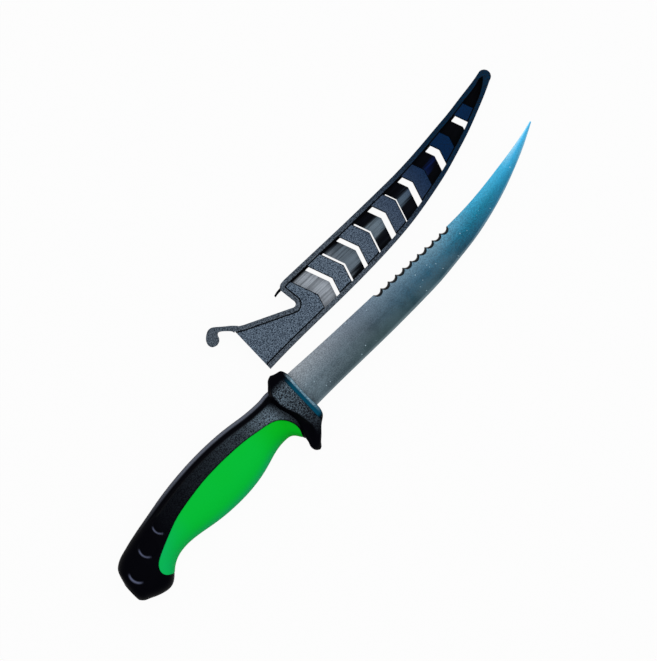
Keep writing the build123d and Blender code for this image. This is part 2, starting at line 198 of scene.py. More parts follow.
# Place along the handle's length, back and belly in shares of its width, half thickness in
# shares of half its thickness
HANDLE_SHARES = np.array([
    (0.068, 0.343, -0.592, 0.62),
    (0.094, 0.350, -0.620, 0.62),
    (0.113, 0.352, -0.600, 0.64),
    (0.125, 0.349, -0.514, 0.68),
    (0.140, 0.340, -0.430, 0.76),
    (0.170, 0.335, -0.386, 0.85),
    (0.219, 0.343, -0.402, 0.91),
    (0.294, 0.379, -0.494, 0.96),
    (0.389, 0.405, -0.577, 1.00),
    (0.483, 0.399, -0.597, 1.00),
    (0.577, 0.366, -0.572, 1.00),
    (0.672, 0.307, -0.517, 0.98),
    (0.740, 0.249, -0.519, 0.96),
    (0.785, 0.210, -0.575, 0.95),
    (0.815, 0.184, -0.661, 0.95),
    (0.838, 0.162, -0.754, 0.95),
    (0.864, 0.136, -0.815, 0.95),
    (0.902, 0.092, -0.810, 0.93),
    (0.936, 0.047, -0.765, 0.89),
    (0.962, -0.016, -0.718, 0.80),
    (0.981, -0.140, -0.678, 0.66),
    (0.994, -0.358, -0.616, 0.42),
])
HANDLE_POWER = 2.5
BUTT_ROUND_SHARE = 0.990

# Upper edge of the grip, in shares of the handle's length and width
GRIP_EDGE_SHARES = np.array([
    (0.119, -0.700),
    (0.119, -0.545),
    (0.108, -0.421),
    (0.113, -0.238),
    (0.125, -0.153),
    (0.143, -0.083),
    (0.181, -0.022),
    (0.219, 0.005),
    (0.276, 0.039),
    (0.332, 0.055),
    (0.389, 0.059),
    (0.445, 0.053),
    (0.502, 0.037),
    (0.559, 0.003),
    (0.615, -0.039),
    (0.672, -0.095),
    (0.747, -0.217),
    (0.808, -0.333),
    (0.851, -0.469),
    (0.857, -0.545),
    (0.852, -0.616),
    (0.828, -0.689),
    (0.808, -0.800),
])

# Start and end of the groove along the handle, over what length it deepens and runs out, and
# where the painted highlight on the rib beside it fades
GROOVE_SHARES = (0.095, 0.80)
GROOVE_RUN_SHARES = (0.012, 0.12)
STRIP_HIGHLIGHT_FADE_SHARES = (0.45, 0.86)

# Middles of the thumb dimples in the same shares, and the direction in plan of their steep sides
DIMPLE_SHARES = ((0.735, -0.008), (0.828, -0.126), (0.917, -0.313))
DIMPLE_STEEP = np.array([-0.96, -0.29])

# Painted highlight on a dimple's steep wall, in shares of its radius: where it begins, is full,
# thins and ends
CRESCENT_HIGHLIGHT_SHARES = (0.79, 0.87, 0.89, 0.97)

# Guard, in shares of its depth behind the front and of its height: down the front, down the
# back, and down the rear edge of the cheek
GUARD_FRONT_SHARES = np.array([
    (0.414, 0.368),
    (0.242, 0.343),
    (0.079, 0.323),
    (0.027, 0.286),
    (0.000, 0.251),
    (0.000, 0.100),
    (0.000, -0.150),
    (0.000, -0.312),
    (0.048, -0.360),
    (0.242, -0.421),
    (0.544, -0.535),
    (0.695, -0.592),
    (0.759, -0.621),
    (0.835, -0.633),
])
GUARD_BACK_SHARES = np.array([
    (0.414, 0.368),
    (0.556, 0.347),
    (0.674, 0.300),
    (0.770, 0.262),
    (0.850, 0.213),
    (0.905, 0.132),
    (0.869, -0.002),
    (0.780, -0.114),
    (0.752, -0.222),
    (0.800, -0.314),
    (0.880, -0.383),
    (0.925, -0.440),
    (0.945, -0.483),
    (0.977, -0.515),
    (0.986, -0.564),
    (0.934, -0.608),
    (0.835, -0.633),
])
CHEEK_REAR_SHARES = np.array([
    (0.300, 0.368),
    (0.440, 0.310),
    (0.600, 0.262),
    (0.745, 0.205),
    (0.785, 0.148),
    (0.792, 0.080),
    (0.765, 0.007),
    (0.680, -0.080),
    (0.595, -0.157),
    (0.545, -0.260),
    (0.510, -0.368),
    (0.560, -0.450),
    (0.640, -0.633),
])
GUARD_POWER = 2.6
GUARD_MIDDLE_SHARE = -0.128
GUARD_SPREAD_SHARE = 0.515

# How far the hollow behind the cheek reaches at the bump, and how much further at the quillon
GUARD_FLARE = 1.4 * MM
GUARD_FLARE_GROWTH = 2.6 * MM

# Hook, in shares of its reach behind the mouth and of its rise above its root: outer side and
# inner side of the arm, from the root to the end of the bulb
HOOK_SHARES = np.array([
    (-0.240, 0.260, 0.028, 0.160),
    (-0.050, 0.476, 0.063, 0.279),
    (0.132, 0.639, 0.210, 0.451),
    (0.371, 0.869, 0.371, 0.598),
    (0.510, 0.967, 0.440, 0.618),
    (0.640, 0.975, 0.500, 0.575),
    (0.800, 0.885, 0.552, 0.434),
    (0.937, 0.730, 0.585, 0.380),
    (1.000, 0.516, 0.629, 0.328),
    (0.951, 0.352, 0.700, 0.290),
    (0.783, 0.270, 0.783, 0.270),
])
SHEATH_ASIDE = 32.0 * MM
SHEATH_ALONG = -4.8 * MM

# Place in shares of the blade's length, edge and spine in shares of its width
BLADE_SHARES = (
    (0.000, -0.497, 0.515),
    (0.291, -0.461, 0.469),
    (0.505, -0.389, 0.457),
    (0.648, -0.230, 0.458),
    (0.762, 0.000, 0.532),
    (0.876, 0.350, 0.677),
    (1.000, 0.866, 0.910),
)
SCALLOP_START = 62.15 * MM
SCALLOP_PITCH = 5.1 * MM
SCALLOP_RADIUS = 2.65 * MM
SCALLOP_COUNT = 10

# Inner edges of the sheath's rims: place in shares of the blade's length, belly side and back
# side in shares of its width
SHEATH_SHARES = (
    (0.000, -0.503, 0.622),
    (0.291, -0.447, 0.581),
    (0.505, -0.367, 0.575),
    (0.648, -0.200, 0.594),
    (0.762, 0.024, 0.670),
    (0.876, 0.339, 0.778),
    (0.976, 0.686, 0.906),
)

# Cells per metre of the moulded grain
GRAIN_FINE = 2700.0
GRAIN_COARSE = 1500.0

# Steps of a plate's wall and of the quarter circle at its rim
WALL_STEPS = 5
RIM_STEPS = 9

# Points nearer to each other than this are one point
WELD_REACH = 1e-6

# Stage: where the key lamp hangs and how wide it is, and the floor
KEY_PLACE = (0.7, 0.1, 1.5)
KEY_SIZE = 1.0
FLOOR_SIZE = 40.0
FLOOR_DROP = 0.2 * MM
FLOOR_WHITENESS = 0.96


# Curves and grids

def natural_cubic(places, values, at):
    """Value at each place of `at` on the cubic spline through a table. Between two table places
    the value is a cubic, slope and bend match where cubics meet, and both ends are unbent."""
    places = np.asarray(places, float)
    values = np.asarray(values, float).reshape(len(places), -1)
    gaps = np.diff(places)
    slopes = np.diff(values, axis=0) / gaps[:, None]
    inner = np.arange(1, len(places) - 1)
    system = np.eye(len(places))
    system[inner, inner - 1] = gaps[:-1]
    system[inner, inner] = 2 * (gaps[:-1] + gaps[1:])
    system[inner, inner + 1] = gaps[1:]
    right = np.zeros_like(values)
    right[1:-1] = 6 * np.diff(slopes, axis=0)
    bends = np.linalg.solve(system, right)
    at = np.clip(at, places[0], places[-1])
    index = np.clip(np.searchsorted(places, at, side="right") - 1, 0, len(places) - 2)
    step = gaps[index][..., None]
    low = (places[index + 1] - at)[..., None] / step
    high = 1 - low
    bend = (low ** 3 - low) * bends[index] + (high ** 3 - high) * bends[index + 1]
    return low * values[index] + high * values[index + 1] + bend * step ** 2 / 6


def lengths_along(points):
    """Distance along a chain of points, from 0 at the first."""
    steps = np.linalg.norm(np.diff(points, axis=0), axis=1)
    return np.concatenate([[0], np.cumsum(steps)])


def smooth_curve(points, count):
    """Evenly spaced points on the natural cubic through the given ones, by chord length."""
    points = np.asarray(points, float)
    chord = lengths_along(points)
    dense = natural_cubic(chord, points, np.linspace(0, chord[-1], 8 * count))
    along = lengths_along(dense)
    even = np.linspace(0, along[-1], count)
    return np.stack([np.interp(even, along, column) for column in dense.T], axis=1)


def eased(value, low, high):
    """0 at low, 1 at high, and a smooth S between."""
    share = np.clip((value - low) / (high - low), 0, 1)
    return share * share * (3 - 2 * share)


def signed_power(value, power):
    """The value's size raised to a power, with its sign kept."""
    return np.sign(value) * np.abs(value) ** power


def closed_tube(points):
    """The grid with a first and a last row added, each drawn to the middle of its neighbour."""
    first = np.broadcast_to(points[:1].mean(axis=1, keepdims=True), points[:1].shape)
    last = np.broadcast_to(points[-1:].mean(axis=1, keepdims=True), points[-1:].shape)
    return np.concatenate([first, points, last])


def tube_object(name, points, marks=None):
    """Closed mesh of a grid whose columns run round it, with named marks kept per point. The
    grid is turned so that its faces point outwards: the signed volume is the sum of each
    vertex dotted with its normal."""
    rows, columns = points.shape[:2]
    index = np.arange(rows * columns).reshape(rows, columns)
    ahead = np.roll(index, -1, axis=1)
    faces = np.stack([index[:-1], index[1:], ahead[1:], ahead[:-1]], axis=-1).reshape(-1, 4)
    flat = points.reshape(-1, 3)
    corners = flat[faces]
    cross = np.cross(corners[:, 2] - corners[:, 0], corners[:, 3] - corners[:, 1])
    middle = flat.mean(axis=0)
    if np.sum((corners.mean(axis=1) - middle) * cross) < 0:
        faces = faces[:, ::-1]
    mesh = bpy.data.meshes.new(name)
    mesh.from_pydata((flat + KNIFE_ORIGIN).tolist(), [], faces.tolist())
    for mark, values in (marks or {}).items():
        layer = mesh.attributes.new(mark, "FLOAT", "POINT")
        layer.data.foreach_set("value", np.asarray(values, np.float32).reshape(-1))
    mesh.polygons.foreach_set("use_smooth", np.ones(len(faces), bool))
    made = bpy.data.objects.new(name, mesh)
    bpy.context.scene.collection.objects.link(made)
    weld(made)
    return made


def weld(made):
    """Merges the points that coincide at poles and seams."""
    bpy.context.view_layer.objects.active = made
    for other in bpy.context.selected_objects:
        other.select_set(False)
    made.select_set(True)
    bpy.ops.object.mode_set(mode="EDIT")
    bpy.ops.mesh.select_all(action="SELECT")
    bpy.ops.mesh.remove_doubles(threshold=WELD_REACH)
    bpy.ops.object.mode_set(mode="OBJECT")


def finished(made, node, body, material):
    """Puts a piece in a CAD node's place, on its body, with its finish."""
    made.data.materials.append(material)
    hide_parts(node)
    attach(made, body)


# Shapes of the handle

def handle_shares(places):
    """Back, belly and half thickness at places along the handle, read from its table."""
    return natural_cubic(HANDLE_SHARES[:, 0], HANDLE_SHARES[:, 1:], places)


def handle_sections(sizes, places, turns):
    """Points of the handle's outer form at places along it and turns round it. Each section is a
    superellipse: height and side are powers of the cosine and sine of the turn."""
    back, belly, half = np.moveaxis(handle_shares(places), -1, 0)
    middle = (back + belly) / 2 * sizes.width
    reach = (back - belly) / 2 * sizes.width
    y = middle + reach * signed_power(np.cos(turns), 2 / HANDLE_POWER)
    z = half * sizes.thickness / 2 * signed_power(np.sin(turns), 2 / HANDLE_POWER)
    x = np.broadcast_to(-places * sizes.length, y.shape)
    return np.stack([x, y, z], axis=-1)


def handle_normals(sizes, places, turns):
    """Outward unit normals of the handle's outer form: the cross product of its differences
    along and round, turned away from the middle line."""
    step = 0.001
    ahead = handle_sections(sizes, places + step, turns)
    behind = handle_sections(sizes, places - step, turns)
    along = ahead - behind
    further = handle_sections(sizes, places, turns + step)
    around = further - handle_sections(sizes, places, turns - step)
    normals = np.cross(along, around)
    normals /= np.maximum(np.linalg.norm(normals, axis=2, keepdims=True), 1e-12)
    outward = np.sign(normals[..., 1] * np.cos(turns) + normals[..., 2] * np.sin(turns))
    return normals * outward[..., None]


def grip_edge(sizes, count):
    """The grip's upper edge in plan, from the belly at the guard to the belly at the butt."""
    table = GRIP_EDGE_SHARES * (-sizes.length, sizes.width)
    curve = smooth_curve(table, 8 * count)
    belly = handle_shares(-curve[:, 0] / sizes.length)[:, 1]
    inside = np.nonzero(curve[:, 1] > belly * sizes.width)[0]
    curve = curve[inside[0]:inside[-1] + 1]
    along = lengths_along(curve)
    even = np.linspace(0, along[-1], count)
    return np.stack([np.interp(even, along, column) for column in curve.T], axis=1)


def distance_inside(plan, ring):
    """Distance of each plan point from a closed ring, positive inside it. The nearest point on
    each side is the projection held between its ends; a point is inside if a level line from
    it crosses the ring an odd number of times."""
    shape = plan.shape[:-1]
    spots = plan.reshape(-1, 1, 2)
    start = ring[None]
    side = np.roll(ring, -1, axis=0)[None] - start
    share = np.sum((spots - start) * side, axis=2) / np.maximum(np.sum(side * side, axis=2), 1e-18)
    away = spots - start - side * np.clip(share, 0, 1)[..., None]
    nearest = np.sqrt(np.min(np.sum(away * away, axis=2), axis=1))
    rise = side[..., 1]
    above = (start[..., 1] > spots[..., 1]) != (start[..., 1] + rise > spots[..., 1])
    cut = side[..., 0] * (spots[..., 1] - start[..., 1]) / np.where(rise == 0, 1, rise)
    inside = np.sum(above & (start[..., 0] + cut > spots[..., 0]), axis=1) % 2 == 1
    return np.where(inside, nearest, -nearest).reshape(shape)


def grip_ring(sizes, count):
    """The grip's edge closed below the belly."""
    edge = grip_edge(sizes, count)
    below = -sizes.width
    return np.concatenate([edge, [(edge[-1, 0], below), (edge[0, 0], below)]])


def handle_rows(sizes, count):
    """Places along the handle, spaced evenly along its back and belly together, so that rows
    crowd where the outline turns at the butt."""
    fine = np.linspace(HANDLE_SHARES[0, 0], BUTT_ROUND_SHARE, 8 * count)
    table = handle_shares(fine)[:, :2] * sizes.width
    outline = np.column_stack([fine * sizes.length, table])
    along = lengths_along(outline)
    return np.interp(np.linspace(0, along[-1], count), along, fine)


def dimple_field(sizes, plan):
    """How deep the three dimples go, and where the painted highlights on their steep sides lie. A
    dimple is deepest at its steep side, towards the butt, and runs out level with the face towards
    the guard."""
    depth = np.zeros(plan.shape[:-1])
    crescent = np.zeros(plan.shape[:-1])
    begins, full, thins, ends = CRESCENT_HIGHLIGHT_SHARES
    for index, (place, high) in enumerate(DIMPLE_SHARES):
        radius = sizes.dimple_radius + index * sizes.dimple_growth
        away = (plan - (-place * sizes.length, high * sizes.width)) / radius
        far = np.linalg.norm(away, axis=-1)
        facing = away @ DIMPLE_STEEP
        wall = 1 - eased(far, 0.80, 1.0)
        depth = np.maximum(depth, sizes.dimple_depth * wall * (0.5 + 0.5 * np.clip(facing, -1, 1)))
        band = eased(far, begins, full) * (1 - eased(far, thins, ends))
        crescent = np.maximum(crescent, band * eased(facing / np.maximum(far, 1e-6), 0.55, 0.95))
    return depth, crescent


def build_body(sizes, material):
    """The handle's outer form, pressed in along its normals by the groove's depth, the dimples
    and the recess that the grip lies in."""
    rows, columns = 420, 216
    places = handle_rows(sizes, rows)[:, None]
    turns = np.linspace(0, 2 * math.pi, columns, endpoint=False)[None]
    points = handle_sections(sizes, places, turns)
    plan = points[..., :2]
    place = -plan[..., 0] / sizes.length
    drop = handle_shares(place)[..., 0] * sizes.width - plan[..., 1]
    inside = distance_inside(plan, grip_ring(sizes, 160))
    start, end = GROOVE_SHARES
    run_in, run_out = GROOVE_RUN_SHARES
    present = eased(place, start, start + run_in) * (1 - eased(place, end - run_out, end))
    edge = 0.25 * sizes.groove_width
    near = sizes.rib_width
    far = near + sizes.groove_width
    groove = eased(drop, near - edge, near + edge) * (1 - eased(drop, far - edge, far + 3 * edge))
    groove = groove * present
    dimples, crescent = dimple_field(sizes, plan)
    recess = eased(inside, 0, sizes.grip_lip) * sizes.grip_lip
    sunk = sizes.groove_depth * groove + dimples + recess
    points = points - handle_normals(sizes, places, turns) * sunk[..., None]
    points = np.concatenate([points, butt_cap(sizes, points[-1])])
    side = np.abs(points[..., 2]) / (sizes.thickness / 2)
    turned = eased(np.abs(np.sin(turns)), 0.07, 0.32)
    # Painted highlight along the rib of the back
    strip = (1 - eased(drop, 0.7 * near, near)) * turned
    marks = {
        "strip": strip * (1 - eased(place, *STRIP_HIGHLIGHT_FADE_SHARES)),
        "crescent": crescent,
        # Painted shade: no grain sheen in the groove or in the crease round the grip
        "groove": np.maximum(groove, eased(inside, -0.6 * sizes.grip_lip, 0)),
    }
    butt = ((0, len(points) - rows), (0, 0))
    marks = {name: np.pad(values, butt) for name, values in marks.items()}
    # Faces turned up, the only ones that get the painted sheen on the grain
    marks["flat"] = eased(side, 0.55, 0.85)
    marks = {name: np.pad(values, ((1, 1), (0, 0)), "edge") for name, values in marks.items()}
    body = tube_object("handle_body_finish", closed_tube(points), marks)
    finished(body, "handle_body", "knife", material)


def butt_cap(sizes, ring):
    """Rows that close the butt: the last ring drawn to its middle while it moves back on a
    quarter ellipse."""
    angle = np.linspace(0, math.pi / 2, 14)[1:-1, None, None]
    middle = ring.mean(axis=0)
    depth = (HANDLE_SHARES[-1, 0] - BUTT_ROUND_SHARE) * sizes.length
    rows = middle + (ring - middle) * np.cos(angle)
    rows[..., 0] = ring[:, 0].mean() - depth * np.sin(angle[..., 0])
    return rows


def build_grip(sizes, material):
    """Soft moulding wrapped round the belly: each row starts at a point of the upper edge on one
    side, follows the handle's form under the belly, and ends at the same point on the other.
    The edges roll down by a quarter circle, and an inner skin closes the form."""
    rows, half_columns = 260, 56
    edge = grip_edge(sizes, rows)
    place = -edge[:, :1] / sizes.length
    table = handle_shares(place[:, 0])[:, :2] * sizes.width
    middle = table.mean(axis=1)
    reach = (table[:, 0] - table[:, 1]) / 2
    up = np.clip((edge[:, 1] - middle) / reach, -1, 1)
    first = np.arccos(signed_power(up, HANDLE_POWER / 2))[:, None]
    share = np.linspace(0, 1, half_columns)[None] ** 1.5
    belly = np.linspace(place[0, 0], place[-1, 0], rows)[:, None]
    places = place * (1 - share) + belly * share
    turns = first * (1 - share) + math.pi * share
    over = np.concatenate([places, places[:, -2::-1]], axis=1)
    round_belly = np.concatenate([turns, 2 * math.pi - turns[:, -2::-1]], axis=1)
    outer = handle_sections(sizes, over, round_belly)
    steps = np.linalg.norm(np.diff(outer, axis=1), axis=2)
    run = np.concatenate([np.zeros((rows, 1)), np.cumsum(steps, axis=1)], axis=1)
    away = np.minimum(run, run[:, -1:] - run)
    row = np.arange(rows)
    ends = np.minimum(row, row[::-1])[:, None] * (lengths_along(edge)[-1] / rows)
    away = np.minimum(away, 0.6 * ends)
    lip = sizes.grip_lip
    rolled = lip * (1 - np.sqrt(1 - (1 - np.clip(away / lip, 0, 1)) ** 2))
    normals = handle_normals(sizes, over, round_belly)
    skin = np.minimum(sizes.grip_skin, 0.5 * run[:, -1:]) * eased(ends, 0, 4 * lip)
    top = outer + normals * (sizes.grip_rise - rolled)[..., None]
    inner = outer + normals * (sizes.grip_rise - np.maximum(rolled, lip) - skin)[..., None]
    points = np.concatenate([top, inner[:, ::-1]], axis=1)
    grip = tube_object("soft_grip_finish", closed_tube(points))
    finished(grip, "soft_grip", "knife", material)


# Plates with rounded rims, for the guard and the hook

def plate_between(first, second, height, radius, middle, across):
    """Closed plate between two plan curves. Each row is a loop that rises up the first curve's
    wall, turns over a quarter circle, crosses to the second curve, and comes back below.
    height gives half the thickness at plan points; middle is the level of the middle plane."""
    chord = np.linalg.norm(second - first, axis=1, keepdims=True)
    local = np.minimum(radius, 0.45 * chord)
    turn = np.linspace(0, math.pi / 2, RIM_STEPS)[None]
    wall = np.ones((1, WALL_STEPS))
    foot = np.zeros_like(wall) * chord
    rounding = local * (1 - np.cos(turn))
    flat = local + (chord - 2 * local) * np.linspace(0, 1, across)[None, 1:-1]
    inward = [foot, rounding, flat, chord - rounding[:, ::-1], wall * chord]
    offset = np.concatenate(inward, axis=1)
    rim = 1 - np.sin(turn)
    fall = np.concatenate([wall, rim, np.zeros((1, across - 2)), rim[:, ::-1], wall], axis=1)
    climb = np.linspace(0, 1, WALL_STEPS, endpoint=False)[None]
    level = np.ones((1, 2 * RIM_STEPS + across - 2))
    share = np.concatenate([climb, level, climb[:, ::-1]], axis=1)
    way = (second - first) / np.maximum(chord, 1e-9)
    plan = first[:, None] + way[:, None] * offset[..., None]
    half = height(plan)
    drop = np.minimum(local, half)
    z = (half - drop * fall) * share
    upper = np.concatenate([plan, z[..., None]], axis=2)
    lower = upper[:, -2:0:-1] * (1, 1, -1)
    points = np.concatenate([upper, lower], axis=1)
    points[..., 2] += middle
    return points


def soft_min(first, second, blend):
    """The smaller of two values, with the corner between them rounded over about blend."""
    gap = np.clip(0.5 + 0.5 * (second - first) / blend, 0, 1)
    return second * (1 - gap) + first * gap - blend * gap * (1 - gap)


def cheek_rear(sizes, y):
    """Place of the cheek's rear edge at a height."""
    rear = CHEEK_REAR_SHARES[::-1] * (-sizes.depth, sizes.height)
    return natural_cubic(rear[:, 1], rear[:, 0], y)[..., 0]


def guard_height(sizes):
    """Half thickness of the guard over its plan: the smallest of the rounded front view, the
    bevel, and the cheek with the hollow that falls from it to the flange."""
    half = sizes.thickness / 2

    def height(plan):
        x, y = plan[..., 0], plan[..., 1]
        lobe = np.abs((y / sizes.height - GUARD_MIDDLE_SHARE) / GUARD_SPREAD_SHARE)
        rounded = half * np.clip(1 - lobe ** GUARD_POWER, 0, 1) ** (1 / GUARD_POWER)
        climb = np.clip((-x - sizes.lip) / sizes.bevel, 0, 2)
        bevel = half + sizes.bevel_drop * (climb - 1)
        behind = cheek_rear(sizes, y) - x
        flare = GUARD_FLARE + GUARD_FLARE_GROWTH * eased(-y, 0, 0.45 * sizes.height)
        hollow = half - (half - sizes.flange / 2) * np.sqrt(np.clip(behind / flare, 0, 1))
        face = soft_min(bevel, hollow, 0.3 * MM)
        return soft_min(face, rounded, 0.6 * MM)

    return height


def build_guard(sizes, material):
    """Sections across the guard at even turns from its bump down to its quillon."""
    front = GUARD_FRONT_SHARES * (-sizes.depth, sizes.height)
    back = GUARD_BACK_SHARES * (-sizes.depth, sizes.height)
    rows, across = 240, 110
    top, bottom = front[0, 1], front[-1, 1]
    turn = np.linspace(0, math.pi, rows)
    level = (top + bottom) / 2 + (top - bottom) / 2 * np.cos(turn)
    first = at_levels(front, level)
    second = at_levels(back, level)
    height = guard_height(sizes)
    plate = plate_between(first, second, height, sizes.edge_radius, 0.0, across)
    points = closed_tube(plate)
    guard = tube_object("guard_finish", points, guard_marks(sizes, points))
    finished(guard, "guard", "knife", material)


def guard_marks(sizes, points):
    """Where the grain of the cheeks carries painted sheen, where the bevel carries a painted blue
    reflection, and where its front edge carries a painted highlight, all on faces turned up.
    """
    x, y, z = np.moveaxis(points, -1, 0)
    up = y / sizes.height
    # Only faces turned up get the painted light below
    side = eased(np.abs(z) / sizes.thickness, 0.30, 0.36)
    behind = -x - sizes.lip - sizes.bevel
    cheek = 1 - eased(cheek_rear(sizes, y) - x, -1.1 * MM, 0.1 * MM)
    # The painted sheen brightens up the cheek
    fade = 0.3 * eased(up, -0.52, -0.30) + 0.7 * eased(up, -0.37, 0.12)
    face = cheek * eased(behind, -1.0 * MM, -0.5 * MM) * fade * (1 - eased(up, 0.16, 0.26))
    bevel = (1 - eased(behind, -1.2 * MM, -0.6 * MM)) * (1 - eased(up, 0.08, 0.26))
    front = (1 - eased(-x, 0.9 * sizes.lip, 1.5 * sizes.lip)) * (1 - eased(up, 0.16, 0.30))
    return {
        "face": face * side,
        "bevel": bevel * eased(up, -0.37, -0.31) * side,
        "front": front * eased(up, -0.36, -0.10) * side,
    }


def at_levels(outline, level):
    """Points of an outline at given heights, read by straight lines between dense points."""
    dense = smooth_curve(outline, 600)
    order = np.argsort(dense[:, 1])
    return np.column_stack([np.interp(level, dense[order, 1], dense[order, 0]), level])


def build_hook(sizes, material):
    """The arm from its root on the sheath's rim to the bulb that snaps over the guard."""
    start = (SHEATH_ALONG, sizes.root + SHEATH_ASIDE)
    table = HOOK_SHARES * (-sizes.reach, sizes.rise, -sizes.reach, sizes.rise) + (*start, *start)
    chord = lengths_along(table[:, :2])
    pairs = natural_cubic(chord, table, np.linspace(0, chord[-1], 90))
    low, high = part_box("sheath_hook")
    half = (high.z - low.z) / 2
    middle = (high.z + low.z) / 2 + 0.04 * MM - KNIFE_ORIGIN[2]

    def height(plan):
        return np.full(plan.shape[:-1], half)

    plate = plate_between(pairs[:, :2], pairs[:, 2:], height, sizes.edge_radius, middle, 20)
    arm = tube_object("sheath_hook_finish", closed_tube(plate))
    arm.data.materials.append(material)
    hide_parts("sheath_hook")
    root = KNIFE_ORIGIN + (table[0, 0], table[0, 1], 0)
    bend = KNIFE_ORIGIN + (table[2, 0], table[2, 1], 0)
    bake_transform(arm)


# Shader maths

class Value:
    """A node socket that takes part in Python arithmetic by adding Math nodes."""

    def __init__(self, shader, socket):
        self.shader = shader
        self.socket = socket

    def maths(self, operation, *values):
        return self.shader.node("ShaderNodeMath", {"operation": operation}, values)

    def __add__(self, other):
        return self.maths("ADD", self, other)

    def __sub__(self, other):
        return self.maths("SUBTRACT", self, other)

    def __mul__(self, other):
        return self.maths("MULTIPLY", self, other)

    def __truediv__(self, other):
        return self.maths("DIVIDE", self, other)

    def __pow__(self, other):
        return self.maths("POWER", abs(self), other)

    def __rsub__(self, other):
        return self.maths("SUBTRACT", other, self)

    def __abs__(self):
        return self.maths("ABSOLUTE", self)

    __radd__ = __add__
    __rmul__ = __mul__

    def most(self, other):
        return self.maths("MAXIMUM", self, other)

    def rise(self, low, high, kind="SMOOTHSTEP"):
        """0 at low and below, 1 at high and above, and a smooth step between."""
        inputs = [self, low, high, 0.0, 1.0]
        return self.shader.node("ShaderNodeMapRange", {"interpolation_type": kind}, inputs)

    def ramp(self, low, high):
        """The same with a straight slope between."""
        return self.rise(low, high, "LINEAR")


class Shader:
    """A material with one Principled surface, or a world, whose nodes come from one method."""

    def __init__(self, owner):
        owner.use_nodes = True
        self.owner = owner
        self.tree = owner.node_tree

    def node(self, kind, settings, inputs, output=0):
        """Adds a node, applies its settings, then sets or links its inputs."""
        made = self.tree.nodes.new(kind)
        for name, value in settings.items():
            if name == "stops":
                self.set_stops(made.color_ramp, value)
            else:
                setattr(made, name, value)
        pairs = inputs.items() if isinstance(inputs, dict) else enumerate(inputs)
        for key, value in pairs:
            self.feed(made.inputs[key], value)
        return Value(self, made.outputs[output])

    def feed(self, socket, value):
        """Links a value to a socket, or sets the socket to a number or colour."""
        if isinstance(value, Value):
            self.tree.links.new(value.socket, socket)
        elif socket.type == "RGBA" and len(value) == 3:
            socket.default_value = (*value, 1.0)
        else:
            socket.default_value = value

    def set_stops(self, ramp, stops):
        while len(ramp.elements) < len(stops):
            ramp.elements.new(1.0)
        for element, (place, shade) in zip(ramp.elements, stops):
            element.position = place
            element.color = (*shade, 1.0)

    def place(self):
        return self.node("ShaderNodeTexCoord", {}, {}, "Object")

    def split(self, vector):
        parts = self.node("ShaderNodeSeparateXYZ", {}, [vector]).socket.node.outputs
        return [Value(self, part) for part in parts]

    def shades(self, place, stops):
        """Colour ramp read at a place from 0 to 1."""
        return self.node("ShaderNodeValToRGB", {"stops": stops}, [place])

    def reading(self, place, table):
        """Value at a place of a table of (place, value), both from 0 to 1."""
        return self.shades(place, [(where, (value, value, value)) for where, value in table])

    def mix(self, factor, first, second):
        """First colour where the factor is 0, second where it is 1."""
        inputs = {0: factor, 6: first, 7: second}
        return self.node("ShaderNodeMix", {"data_type": "RGBA"}, inputs, 2)

    def noise(self, scale, stretch=(1, 1, 1), turn=0.0, detail=2.0, rough=0.5):
        """Cloudy pattern from 0 to 1, finer along the axes with a larger stretch."""
        inputs = {"Vector": self.place(), "Scale": stretch, "Rotation": (0, 0, turn)}
        vector = self.node("ShaderNodeMapping", {}, inputs)
        inputs = {"Vector": vector, "Scale": scale, "Detail": detail, "Roughness": rough}
        return self.node("ShaderNodeTexNoise", {}, inputs, "Fac")

    def dots(self, scale, size):
        """Small round specks, 1 in their middle, where the nearest cell point is close."""
        inputs = {"Vector": self.place(), "Scale": scale}
        near = self.node("ShaderNodeTexVoronoi", {"feature": "F1"}, inputs, "Distance")
        return 1 - near.rise(0.3 * size, size)

    def mark(self, name):
        """Value that a piece keeps per point under a name."""
        return self.node("ShaderNodeAttribute", {"attribute_name": name}, {}, "Fac")

    def bump(self, height, distance, strength=1.0):
        inputs = {"Height": height, "Distance": distance, "Strength": strength}
        return self.node("ShaderNodeBump", {}, inputs)

    def finish(self, sockets):
        """Feeds the surface's sockets and returns the material."""
        surface = self.tree.nodes["Principled BSDF"]
        for name, value in sockets.items():
            self.feed(surface.inputs[name], value)
        return self.owner


def new_shader(name):
    return Shader(bpy.data.materials.new(name))


def moulded_grain(shader):
    """Speckle of a spark-eroded mould: a fine cloud with a coarser one under it."""
    fine = shader.noise(GRAIN_FINE, detail=0.0)
    coarse = shader.noise(GRAIN_COARSE, detail=0.0)
    return fine * 0.65 + coarse * 0.35


# Finishes

